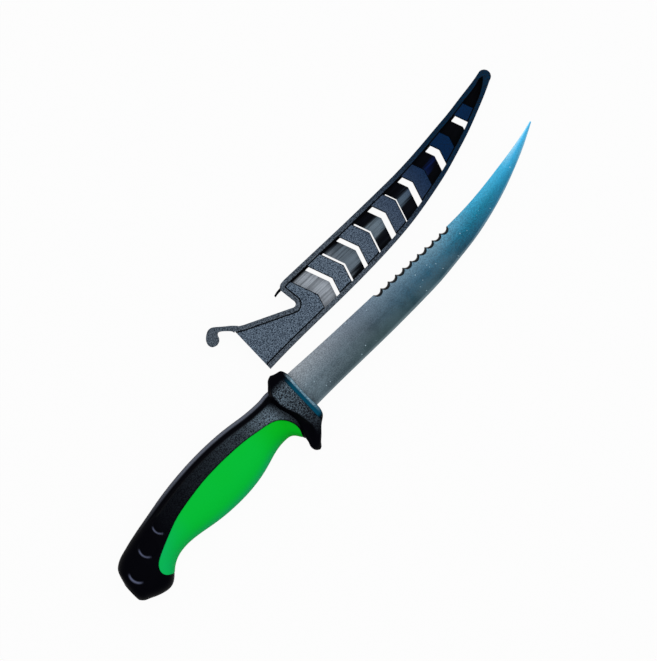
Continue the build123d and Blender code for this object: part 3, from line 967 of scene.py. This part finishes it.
def blade_steel():
    """Ground steel in three zones along the blade, spine, face and edge, that drift from grey at
    the heel to blue at the tip; the lighter spine and darker edge are painted reflection and shade,
    and the blue is a painted reflection of blue light. Streaks run along it, fine pits scatter over
    it, and the facets of the scallops are painted dark as shade."""
    s = new_shader("blade_steel")
    x, y = s.split(s.place())[:2]
    along = (x - ZERO_X) / BLADE_LENGTH
    up = (y - ZERO_Y) / BLADE_WIDTH
    low = s.reading(along, [(place, edge + 0.6) for place, edge, back in BLADE_SHARES]) - 0.6
    high = s.reading(along, [(place, back) for place, edge, back in BLADE_SHARES])
    across = (up - low) / (high - low)
    # Lighter spine and darker edge are painted reflection and shade; the drift to blue towards the
    # tip is a painted reflection of blue light
    spine = s.shades(along, [
        (0.03, tone(140, 147, 154)), (0.25, tone(96, 108, 122)), (0.55, tone(98, 134, 154)),
        (0.70, tone(50, 142, 176)), (0.85, tone(64, 162, 200)), (0.97, tone(178, 220, 238)),
    ])
    face = s.shades(along, [
        (0.03, tone(105, 120, 130)), (0.25, tone(56, 68, 78)), (0.50, tone(8, 72, 98)),
        (0.76, tone(12, 110, 138)), (0.93, tone(52, 164, 212)),
    ])
    edge = s.shades(along, [
        (0.03, tone(70, 84, 92)), (0.28, tone(24, 46, 47)), (0.62, tone(20, 60, 78)),
        (0.84, tone(22, 106, 138)), (0.96, tone(62, 148, 186)),
    ])
    streak = s.noise(60.0, (0.14, 3.0, 1.0), detail=4.0, rough=0.65)
    cloud = s.noise(42.0, detail=3.0, rough=0.6)
    grain = s.noise(2600.0, (0.5, 1.0, 1.0), detail=1.0, rough=0.7)
    zone = across + (streak - 0.5) * 0.3
    tinted = s.mix(zone.ramp(0.48, 0.94), face, spine)
    tinted = s.mix(zone.ramp(0.16, 0.56), edge, tinted)
    speck = (grain.rise(0.40, 0.60) - 0.5) * (0.42 - along.rise(0.62, 0.84) * 0.28) + 0.21
    shaded = s.mix(speck, tinted, tone(12, 22, 32))
    shaded = s.mix(cloud.rise(0.42, 0.70) * 0.08, shaded, tone(150, 178, 190))
    shaded = s.mix((1 - across.rise(0.02, 0.08)) * 0.25, shaded, tone(140, 156, 162))
    flecked = s.mix(s.dots(260.0, 0.10) * 0.5, shaded, tone(176, 200, 212))
    # Painted shade on the scallops' facets
    step = (x - ZERO_X - SCALLOP_START) / SCALLOP_PITCH
    beside = (step - step.maths("ROUND", step)) * SCALLOP_PITCH
    above = (up - high) * BLADE_WIDTH
    away = (beside ** 2.0 + above ** 2.0) ** 0.5
    facet_shade = 1 - away.rise(SCALLOP_RADIUS, SCALLOP_RADIUS + 0.2 * MM)
    facet_shade = facet_shade * step.rise(-0.55, -0.5)
    facet_shade = facet_shade * (1 - step.rise(SCALLOP_COUNT - 0.55, SCALLOP_COUNT - 0.5))
    colour = s.mix(facet_shade, flecked, tone(6, 10, 14))
    return s.finish({
        "Base Color": colour, "Metallic": 0.85, "Roughness": 0.34 + cloud * 0.16,
        "Normal": s.bump(streak * 0.5 + grain * 0.5, 0.02 * MM),
    })


def handle_black(finishes, sizes):
    """Black moulding, grained on its flat sides near the guard and plain towards the butt. Painted
    sheen lightens the grain on faces turned up, and painted highlights run along its back and on
    its dimples."""
    s = new_shader("handle_black")
    along = (ZERO_X - s.split(s.place())[0]) / sizes.length
    grain = moulded_grain(s)
    # Painted sheen on the grain, strongest near the guard and gone at the plain butt
    sheen_along = s.reading(along, [
        (0.12, 1.0), (0.28, 0.25), (0.45, 0.09), (0.60, 0.03), (0.72, 0.01), (0.76, 0.0),
    ])
    # Painted shade in the groove and the crease round the grip, where the sheen is left out
    lights = (grain.rise(0.40, 0.60) * 0.9 + 0.1) * sheen_along * s.mark("flat") * (1 - s.mark("groove"))
    base = s.mix(lights, finishes.black, finishes.grain_sheen)
    # Painted highlight along the back
    base = s.mix(s.mark("strip") * (0.5 + grain * 0.8), base, finishes.strip)
    # Painted highlights on the dimples' steep walls
    base = s.mix(s.mark("crescent"), base, finishes.crescent)
    return s.finish({
        "Base Color": base, "Roughness": 0.5, "Specular IOR Level": 0.02,
        "Normal": s.bump(grain, 0.05 * MM),
    })


def guard_black(finishes):
    """The same moulding on the guard, with painted sheen on its cheeks' grain, a painted blue
    reflection on its bevel and a painted highlight on its front edge.
    """
    s = new_shader("guard_black")
    grain = moulded_grain(s)
    speck = grain.rise(0.45, 0.60)
    # Painted sheen on the grain of the cheeks
    base = s.mix((speck * 0.62 + 0.02) * s.mark("face"), finishes.black, finishes.grain_sheen)
    # Painted reflection of blue light on the bevel
    base = s.mix(s.mark("bevel") * (1.0 - speck * 0.25), base, finishes.bevel_blue_reflection)
    # Painted highlight on the front edge
    base = s.mix(s.mark("front") * (0.25 + speck * 0.6), base, tone(150, 180, 196))
    return s.finish({
        "Base Color": base, "Roughness": 0.5, "Specular IOR Level": 0.02,
        "Normal": s.bump(grain, 0.05 * MM),
    })


def grip_green(finishes, sizes):
    """Smooth soft moulding, a little bluer where it turns under and yellower at the guard."""
    s = new_shader("grip_green")
    x, _, z = s.split(s.place())
    along = (ZERO_X - x) / sizes.length
    side = abs(z - ZERO_Z) / (sizes.thickness / 2)
    cloud = s.noise(35.0, detail=2.0)
    grain = s.noise(1500.0, detail=1.0)
    base = s.mix(1 - side.rise(0.30, 0.85), finishes.green, finishes.green_edge)
    base = s.mix(along.rise(0.62, 0.84) * 0.75, base, finishes.green_edge)
    base = s.mix((1 - along.rise(0.13, 0.30)) * 0.9, base, finishes.green_front)
    base = s.mix(cloud.rise(0.45, 0.7) * 0.4, base, tone(0, 180, 40))
    return s.finish({
        "Base Color": base, "Roughness": 0.55 + cloud * 0.1, "Specular IOR Level": 0.03,
        "Normal": s.bump(grain, 0.01 * MM),
    })


def sheath_black(finishes):
    """Flexible black moulding. Height tells the parts of it apart: rims on top, grained front
    straps a step lower, walls and lines below them painted dark as shade, and rear straps at the
    back whose gloss is a painted sheen, with painted shadow beside the walls. Lighter tones near
    the mouth are painted sheen, and the blue towards the point a painted reflection of blue light."""
    s = new_shader("sheath_black")
    x, y, z = s.split(s.place())
    low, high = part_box("sheath")
    above = z / (high.z - low.z)
    place = (x - (ZERO_X + SHEATH_ALONG)) / BLADE_LENGTH
    up = (y - (ZERO_Y + SHEATH_ASIDE)) / BLADE_WIDTH
    belly = s.reading(place, [(where, below + 0.6) for where, below, over in SHEATH_SHARES]) - 0.6
    back = s.reading(place, [(where, over) for where, below, over in SHEATH_SHARES])
    across = (up - belly) / (back - belly)
    grain = moulded_grain(s)
    # Painted sheen near the mouth fading into painted blue reflection towards the point
    far = place.rise(0.30, 0.78)
    panel = s.mix(far, finishes.panel_near, finishes.panel_far)
    panel = s.mix((1 - grain.rise(0.41, 0.59)) * (0.96 - far * 0.36), panel, tone(8, 20, 36))
    rim = s.mix(place.rise(0.26, 0.80), finishes.rim_near, finishes.rim_far)
    rim = s.mix((1 - grain.rise(0.42, 0.58)) * 0.9, rim, tone(16, 22, 32))
    top = s.mix(above.rise(0.970, 0.990), panel, rim)
    streak = s.noise(70.0, (0.12, 4.0, 1.0), turn=-0.15, detail=4.0, rough=0.7)
    # Painted sheen on the rear straps, bright near the mouth and black at the point
    glow = s.shades(place, [
        (0.28, tone(172, 180, 190)), (0.37, tone(106, 119, 131)), (0.50, tone(106, 121, 133)),
        (0.62, tone(80, 98, 116)), (0.72, tone(10, 30, 82)), (0.82, tone(0, 0, 4)),
    ])
    spread = s.reading(place, [
        (0.26, 0.03), (0.385, 0.22), (0.50, 0.37), (0.61, 0.43), (0.72, 0.46),
    ])
    # Painted shadow on the rear straps beside the walls, widening towards the point
    shadow = abs(across - 0.48) + (streak - 0.5) * 0.5 + spread
    rear = s.mix(shadow.rise(0.44, 0.60), glow, tone(2, 3, 8))
    haze = streak.rise(0.40, 0.70) * (1 - place.rise(0.40, 0.70)) * 0.45
    rear = s.mix(haze, rear, tone(40, 46, 54))
    scuff = s.noise(260.0, (0.12, 4.0, 1.0), turn=-0.15, detail=3.0, rough=0.7)
    worn = scuff.rise(0.46, 0.62) * (0.45 - place.rise(0.5, 0.8) * 0.4)
    rear = s.mix(worn, rear, tone(14, 18, 30))
    # Painted shadow of the back wall on the rear straps
    rear = s.mix(across.rise(0.88, 0.95), rear, finishes.black)
    # Painted shade on the inner walls and the lines below the front straps
    inner = s.mix(above.rise(0.26, 0.30), rear, tone(2, 4, 9))
    under = s.mix(above.rise(0.12, 0.20), panel, inner)
    base = s.mix(above.rise(0.935, 0.950), under, top)
    return s.finish({
        "Base Color": base, "Roughness": 0.5, "Specular IOR Level": 0.02,
        "Normal": s.bump(grain, 0.05 * MM),
    })


def dress(node, material):
    """Gives a CAD node one material."""
    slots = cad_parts[node].data.materials
    slots.clear()
    slots.append(material)


# Stage

def photo_place(right, down):
    """Place in the frame, in metres, of a pixel of the photograph at the knife's level."""
    right -= PHOTO_HEEL[0]
    down -= PHOTO_HEEL[1]
    along = right * math.cos(BLADE_TURN) - down * math.sin(BLADE_TURN)
    aside = -right * math.sin(BLADE_TURN) - down * math.cos(BLADE_TURN)
    return KNIFE_ORIGIN[0] + along * PIXEL, KNIFE_ORIGIN[1] + aside * PIXEL


def make_camera(settings):
    """Camera straight above, with a lens as long as its distance over the width that it sees."""
    x, y = photo_place(PHOTO_WIDTH / 2, PHOTO_HEIGHT / 2)
    data = bpy.data.cameras.new("camera")
    data.sensor_fit = "HORIZONTAL"
    data.lens = data.sensor_width * settings.camera_distance / (PHOTO_WIDTH * PIXEL)
    data.clip_end = 100.0
    camera = bpy.data.objects.new("camera", data)
    bpy.context.scene.collection.objects.link(camera)
    camera.location = (x, y, KNIFE_ORIGIN[2] + settings.camera_distance)
    camera.rotation_euler = (0, 0, -BLADE_TURN)
    bpy.context.scene.camera = camera


def area_lamp(name, place, size, power):
    """Square lamp that faces the origin."""
    data = bpy.data.lights.new(name, "AREA")
    data.size = size
    data.energy = power
    lamp = bpy.data.objects.new(name, data)
    bpy.context.scene.collection.objects.link(lamp)
    lamp.location = place
    lamp.rotation_euler = (-Vector(place)).to_track_quat("-Z", "Y").to_euler()


def seen_directly(shader):
    """1 for camera, glossy and transmission rays, 0 for the light that falls on things."""
    path = shader.node("ShaderNodeLightPath", {}, {}).socket.node.outputs
    names = ("Is Camera Ray", "Is Glossy Ray", "Is Transmission Ray")
    direct, glossy, through = (Value(shader, path[name]) for name in names)
    return direct.most(glossy).most(through)


def make_floor():
    """Pale floor that is white where it is seen and keeps a soft shadow."""
    bpy.ops.mesh.primitive_plane_add(size=FLOOR_SIZE, location=(0, 0, -FLOOR_DROP))
    floor = bpy.context.object
    floor.name = "floor"
    s = new_shader("floor")
    surface = s.tree.nodes["Principled BSDF"]
    s.finish({"Base Color": tone(180, 180, 180), "Roughness": 0.9})
    glow = s.node("ShaderNodeEmission", {}, {"Color": (1, 1, 1), "Strength": 1.0})
    plain = Value(s, surface.outputs[0])
    mixed = s.node("ShaderNodeMixShader", {}, [seen_directly(s) * FLOOR_WHITENESS, plain, glow])
    s.feed(s.tree.nodes["Material Output"].inputs[0], mixed)
    floor.data.materials.append(s.owner)


def make_world(settings):
    """Room that is brightest overhead and falls off to the horizon, and white where seen."""
    s = Shader(bpy.context.scene.world or bpy.data.worlds.new("world"))
    bpy.context.scene.world = s.owner
    height = s.split(s.node("ShaderNodeTexCoord", {}, {}, "Generated"))[2]
    room = (height.most(0.0) * 0.5 + 0.5) * settings.sky_light
    path = s.node("ShaderNodeLightPath", {}, {}, "Is Camera Ray")
    strength = room * (1 - path) + path
    background = s.tree.nodes["Background"]
    s.feed(background.inputs[0], (1, 1, 1))
    s.feed(background.inputs[1], strength)


# Operators and panel

class FILLET_OT_blade(bpy.types.Operator):
    """Finish the blade in ground steel"""

    bl_idname = "fillet.blade"
    bl_label = "Blade"

    def execute(self, context):
        dress("blade", blade_steel())
        return {"FINISHED"}


class FILLET_OT_handle(bpy.types.Operator):
    """Build the handle's hard body and its soft grip"""

    bl_idname = "fillet.handle"
    bl_label = "Handle and grip"

    def execute(self, context):
        settings = context.scene.fillet_knife
        build_body(settings.handle, handle_black(settings.finishes, settings.handle))
        build_grip(settings.handle, grip_green(settings.finishes, settings.handle))
        return {"FINISHED"}


class FILLET_OT_guard(bpy.types.Operator):
    """Build the guard"""

    bl_idname = "fillet.guard"
    bl_label = "Guard"

    def execute(self, context):
        settings = context.scene.fillet_knife
        build_guard(settings.guard, guard_black(settings.finishes))
        return {"FINISHED"}


class FILLET_OT_sheath(bpy.types.Operator):
    """Finish the sheath and build its hook"""

    bl_idname = "fillet.sheath"
    bl_label = "Sheath and hook"

    def execute(self, context):
        settings = context.scene.fillet_knife
        cover = sheath_black(settings.finishes)
        dress("sheath", cover)
        build_hook(settings.hook, cover)
        return {"FINISHED"}


class FILLET_OT_stage(bpy.types.Operator):
    """Set up the camera, the floor and the light"""

    bl_idname = "fillet.stage"
    bl_label = "Stage"

    def execute(self, context):
        settings = context.scene.fillet_knife.stage
        make_camera(settings)
        make_floor()
        make_world(settings)
        area_lamp("key", KEY_PLACE, KEY_SIZE, settings.lamp_power)
        context.scene.view_settings.view_transform = "Standard"
        return {"FINISHED"}


OPERATORS = (FILLET_OT_blade, FILLET_OT_handle, FILLET_OT_guard, FILLET_OT_sheath, FILLET_OT_stage)


class FILLET_PT_panel(bpy.types.Panel):
    """Lists the steps that build the knife and its sheath"""

    bl_idname = "FILLET_PT_panel"
    bl_label = "Fillet knife"
    bl_space_type = "VIEW_3D"
    bl_region_type = "UI"
    bl_category = "Fillet knife"

    def draw(self, context):
        for operator in OPERATORS:
            self.layout.operator(operator.bl_idname)


CLASSES = (
    HandleSizes, GuardSizes, HookSizes, Finishes, StageSettings, KnifeSettings,
    *OPERATORS, FILLET_PT_panel,
)


def register():
    for each in CLASSES:
        bpy.utils.register_class(each)
    bpy.types.Scene.fillet_knife = PointerProperty(type=KnifeSettings)


def unregister():
    del bpy.types.Scene.fillet_knife
    for each in reversed(CLASSES):
        bpy.utils.unregister_class(each)


def main():
    """Runs every step in order."""
    register()
    for step in (bpy.ops.fillet.blade, bpy.ops.fillet.handle, bpy.ops.fillet.guard,
                 bpy.ops.fillet.sheath, bpy.ops.fillet.stage):
        step()


if __name__ == "__main__":
    main()
